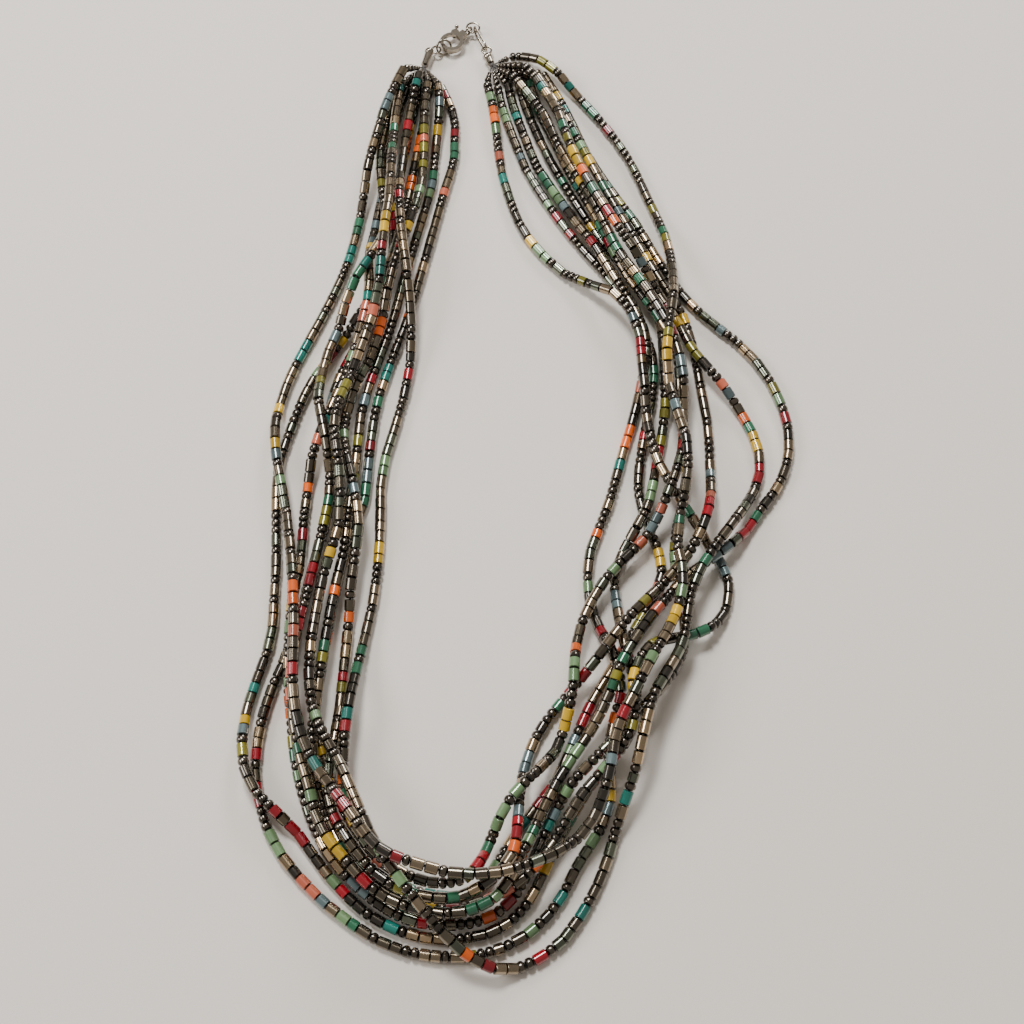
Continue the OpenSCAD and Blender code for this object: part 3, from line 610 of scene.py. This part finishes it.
class Finish:
    """A material in the making, with its shader and the steps that the finishes share."""

    def __init__(self, name):
        self.material = bpy.data.materials.new(name)
        self.material.use_nodes = True
        tree = self.material.node_tree
        self.add = tree.nodes.new
        self.link = tree.links.new
        self.shader = next(node for node in tree.nodes if node.type == "BSDF_PRINCIPLED")

    def set(self, socket, value):
        """A value that is the same all over."""
        self.shader.inputs[socket].default_value = value

    def feed(self, socket, output):
        """A value that changes over the surface."""
        self.link(output, self.shader.inputs[socket])

    def wear(self, patch, pit):
        """The tarnish group with its own scales: where the surface is dull, and its pits."""
        node = self.add("ShaderNodeGroup")
        node.node_tree = tarnish_group()
        node.inputs["Patch scale"].default_value = patch
        node.inputs["Pit scale"].default_value = pit
        return node.outputs["Mask"], node.outputs["Pits"]

    def attribute(self, name, output):
        node = self.add("ShaderNodeAttribute")
        node.attribute_name = name
        return node.outputs[output]

    def mix(self, factor, first, second, blend="MIX"):
        """Colour mix whose ends are colours or sockets."""
        node = self.add("ShaderNodeMix")
        node.data_type = "RGBA"
        node.blend_type = blend
        self.link(factor, node.inputs[MIX_FACTOR])
        for value, number in ((first, MIX_FIRST), (second, MIX_SECOND)):
            socket = node.inputs[number]
            if isinstance(value, bpy.types.NodeSocket):
                self.link(value, socket)
            else:
                socket.default_value = (*value, 1.0)
        return node.outputs[MIX_RESULT]

    def spread(self, value, low, high):
        """A value from 0 to 1 brought between low and high."""
        node = self.add("ShaderNodeMapRange")
        node.inputs["To Min"].default_value = low
        node.inputs["To Max"].default_value = high
        self.link(value, node.inputs["Value"])
        return node.outputs["Result"]

    def bump(self, height, strength, distance):
        """Low relief from a height, with its depth in metres."""
        node = self.add("ShaderNodeBump")
        node.inputs["Strength"].default_value = strength
        node.inputs["Distance"].default_value = distance
        self.link(height, node.inputs["Height"])
        self.feed("Normal", node.outputs["Normal"])


def bead_material():
    """Glossy beads in their own colours, with painted shade at their ends for the shade in the grooves
    between beads and in their holes.
    """
    glass = Finish("bead_glass")
    mask, pits = glass.wear(patch=420.0, pit=3000.0)
    tint = glass.attribute("tint", "Color")
    groove_shade = glass.attribute("groove_shade", "Fac")
    faded = glass.mix(glass.spread(mask, low=-0.1, high=0.5), tint, (0.45, 0.38, 0.28), "MULTIPLY")
    # Painted shade: the ends of each bead turn near black, standing for the shade between neighbouring
    # beads
    dark = glass.mix(glass.spread(groove_shade, low=0.0, high=0.92), faded, (0.012, 0.010, 0.009))
    glass.feed("Base Color", dark)
    glass.feed("Metallic", glass.attribute("metal", "Fac"))
    glass.feed("Roughness", glass.spread(mask, low=0.12, high=0.27))
    glass.set("Coat Weight", 0.8)
    glass.set("Coat Roughness", 0.08)
    glass.bump(pits, strength=0.15, distance=0.00003)
    return glass.material


def thread_material(colour):
    """Dark waxed thread, paler in patches."""
    waxed = Finish("waxed_thread")
    mask, pits = waxed.wear(patch=700.0, pit=5200.0)
    pale = tuple(c * THREAD_PALER for c in colour)
    waxed.feed("Base Color", waxed.mix(mask, tuple(colour), pale))
    waxed.feed("Roughness", waxed.spread(mask, low=0.45, high=0.75))
    waxed.bump(pits, strength=0.5, distance=0.00006)
    return waxed.material


def metal_material(colour, tarnish):
    """Polished metal that has dulled in patches."""
    polished = Finish("clasp_metal")
    mask, pits = polished.wear(patch=650.0, pit=3800.0)
    dulled = polished.spread(mask, low=-0.6, high=1.2)
    polished.feed("Base Color", polished.mix(dulled, tuple(colour), tuple(tarnish)))
    polished.set("Metallic", 1.0)
    polished.feed("Roughness", polished.spread(mask, low=0.08, high=0.30))
    polished.bump(pits, strength=0.2, distance=0.00003)
    return polished.material


def waxed_thread(scene):
    """The thread's material, made once."""
    return bpy.data.materials.get("waxed_thread") or thread_material(scene.necklace_metal.thread)


def finish_nodes(names, material):
    """Gives the CAD nodes that stay their finish."""
    for name in names:
        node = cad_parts[name]
        if not node.material_slots:
            node.data.materials.append(material)
        for part in node.material_slots:
            part.material = material


def stringing_kit(scene):
    """The two bead shapes and the tree that strings every run of beads."""
    thread = waxed_thread(scene)
    glass = bpy.data.materials.get("bead_glass") or bead_material()
    shapes = (lathe("cylinder_shape", CYLINDER_OUTLINE), lathe("seed_shape", SEED_OUTLINE))
    return shapes, stringing_tree(*shapes, glass, thread)


def clear_kit(shapes, tree):
    """Takes the shapes and the tree away, once every run is a plain mesh."""
    for shape in shapes:
        mesh = shape.data
        bpy.data.objects.remove(shape)
        bpy.data.meshes.remove(mesh)
    bpy.data.node_groups.remove(tree)


def make_floor(stage):
    """A square floor with a plain finish."""
    half = stage.floor_size / 2
    corners = [(-half, -half, 0), (half, -half, 0), (half, half, 0), (-half, half, 0)]
    mesh = bpy.data.meshes.new("floor")
    mesh.from_pydata(corners, [], [(0, 1, 2, 3)])
    floor = bpy.data.objects.new("floor", mesh)
    bpy.context.scene.collection.objects.link(floor)
    cloth = Finish("floor_cloth")
    cloth.set("Base Color", (*stage.floor, 1.0))
    cloth.set("Roughness", FLOOR_ROUGHNESS)
    mesh.materials.append(cloth.material)
    return floor


def aimed(thing, place, target):
    """Puts a lamp or the camera in its place and turns it to the target."""
    thing.location = place
    thing.rotation_euler = (target - Vector(place)).to_track_quat("-Z", "Y").to_euler()
    bpy.context.scene.collection.objects.link(thing)


def make_lamps(target):
    """Square lamps aimed at the target, and an even warm light from all round."""
    for name, place, size, power in LAMPS:
        light = bpy.data.lights.new(name, "AREA")
        light.shape = "SQUARE"
        light.size = size
        light.energy = power
        aimed(bpy.data.objects.new(name, light), place, target)
    world = bpy.data.worlds.new("studio")
    world.use_nodes = True
    background = world.node_tree.nodes["Background"]
    background.inputs["Color"].default_value = STUDIO_COLOUR
    background.inputs["Strength"].default_value = STUDIO_STRENGTH
    bpy.context.scene.world = world


def make_camera(lens, target):
    """The camera that sees the necklace from above and in front."""
    camera = bpy.data.objects.new("camera", bpy.data.cameras.new("camera"))
    camera.data.lens = lens
    camera.data.sensor_width = SENSOR_WIDTH
    camera.data.clip_start = CLIP_NEAR
    camera.data.clip_end = CLIP_FAR
    aimed(camera, Vector(in_frame(CAMERA_PLACE)), target)
    bpy.context.scene.camera = camera


class NECKLACE_OT_strands(bpy.types.Operator):
    """Strings the ten strands of beads in place of their tubes"""
    bl_idname = "necklace.strands"
    bl_label = "Strands"

    def execute(self, context):
        beads = context.scene.necklace_beads
        # The beads are a little wider than the tube's flat sides, so their axis is lifted off the floor
        lift = max(0.0, beads.width / 2 - TUBE_HALF * MM)
        shapes, tree = stringing_kit(context.scene)
        for number, axis in enumerate(lay_strands(), 1):
            place = in_frame(axis) + np.array([0.0, 0.0, lift])
            run = strand_run(place, beads, random.Random(FIRST_DRAW + number))
            piece = bead_piece(f"beads_{number}", [run], tree, beads.thread_width)
            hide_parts(f"strand_{number}")
            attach(piece, NECKLACE)
        clear_kit(shapes, tree)
        return {"FINISHED"}


class NECKLACE_OT_end_beads(bpy.types.Operator):
    """Strings small beads on the threads between each end piece and the strands"""
    bl_idname = "necklace.end_beads"
    bl_label = "Beads at the ends"

    def execute(self, context):
        beads = context.scene.necklace_beads
        shapes, tree = stringing_kit(context.scene)
        axes = lay_strands()
        for side, (ball, mouth) in END_PLACES.items():
            knot = knot_place(ball, mouth)
            rng = random.Random(side)
            tips = [in_frame(axis[0] if side == "left" else axis[-1]) for axis in axes]
            runs = [end_run(tip, knot, rng, beads.seed_colour) for tip in tips]
            strung = [run for run in runs if len(run) > 1]
            piece = bead_piece(f"end_beads_{side}", strung, tree, beads.thread_width)
            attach(piece, NECKLACE)
        clear_kit(shapes, tree)
        return {"FINISHED"}


class NECKLACE_OT_threads(bpy.types.Operator):
    """Gives the threads at both ends their finish"""
    bl_idname = "necklace.threads"
    bl_label = "Threads"

    def execute(self, context):
        finish_nodes(THREAD_NODES, waxed_thread(context.scene))
        return {"FINISHED"}


class NECKLACE_OT_metal(bpy.types.Operator):
    """Gives the clasp, the rings, the link and the end pieces their finish"""
    bl_idname = "necklace.metal"
    bl_label = "Clasp and rings"

    def execute(self, context):
        metal = context.scene.necklace_metal
        finish_nodes(METAL_NODES, metal_material(metal.colour, metal.tarnish))
        return {"FINISHED"}


class NECKLACE_OT_stage(bpy.types.Operator):
    """Makes the floor, the lamps and the camera"""
    bl_idname = "necklace.stage"
    bl_label = "Floor, lamps and camera"

    def execute(self, context):
        stage = context.scene.necklace_stage
        floor = make_floor(stage)
        target = Vector(in_frame(LOOK_AT))
        make_lamps(target)
        make_camera(stage.lens, target)
        return {"FINISHED"}


class NECKLACE_PT_panel(bpy.types.Panel):
    """Lists the necklace's values and its pieces"""
    bl_idname = "NECKLACE_PT_panel"
    bl_label = "Necklace"
    bl_space_type = "VIEW_3D"
    bl_region_type = "UI"
    bl_category = "Necklace"

    def draw(self, context):
        scene = context.scene
        for group in (scene.necklace_beads, scene.necklace_metal, scene.necklace_stage):
            box = self.layout.box()
            for name in group.__annotations__:
                box.prop(group, name)
        for operator in OPERATORS:
            self.layout.operator(operator.bl_idname)


GROUPS = {"necklace_beads": NecklaceBeads, "necklace_metal": NecklaceMetal, "necklace_stage": NecklaceStage}
OPERATORS = (
    NECKLACE_OT_strands, NECKLACE_OT_end_beads, NECKLACE_OT_threads, NECKLACE_OT_metal, NECKLACE_OT_stage)


def register():
    for group in (*GROUPS.values(), *OPERATORS, NECKLACE_PT_panel):
        bpy.utils.register_class(group)
    for name, group in GROUPS.items():
        setattr(bpy.types.Scene, name, bpy.props.PointerProperty(type=group))


def unregister():
    for name in GROUPS:
        delattr(bpy.types.Scene, name)
    for group in (NECKLACE_PT_panel, *reversed(OPERATORS), *reversed(GROUPS.values())):
        bpy.utils.unregister_class(group)


def main():
    register()
    bpy.ops.necklace.stage()
    bpy.ops.necklace.strands()
    bpy.ops.necklace.end_beads()
    bpy.ops.necklace.threads()
    bpy.ops.necklace.metal()


if __name__ == "__main__":
    main()
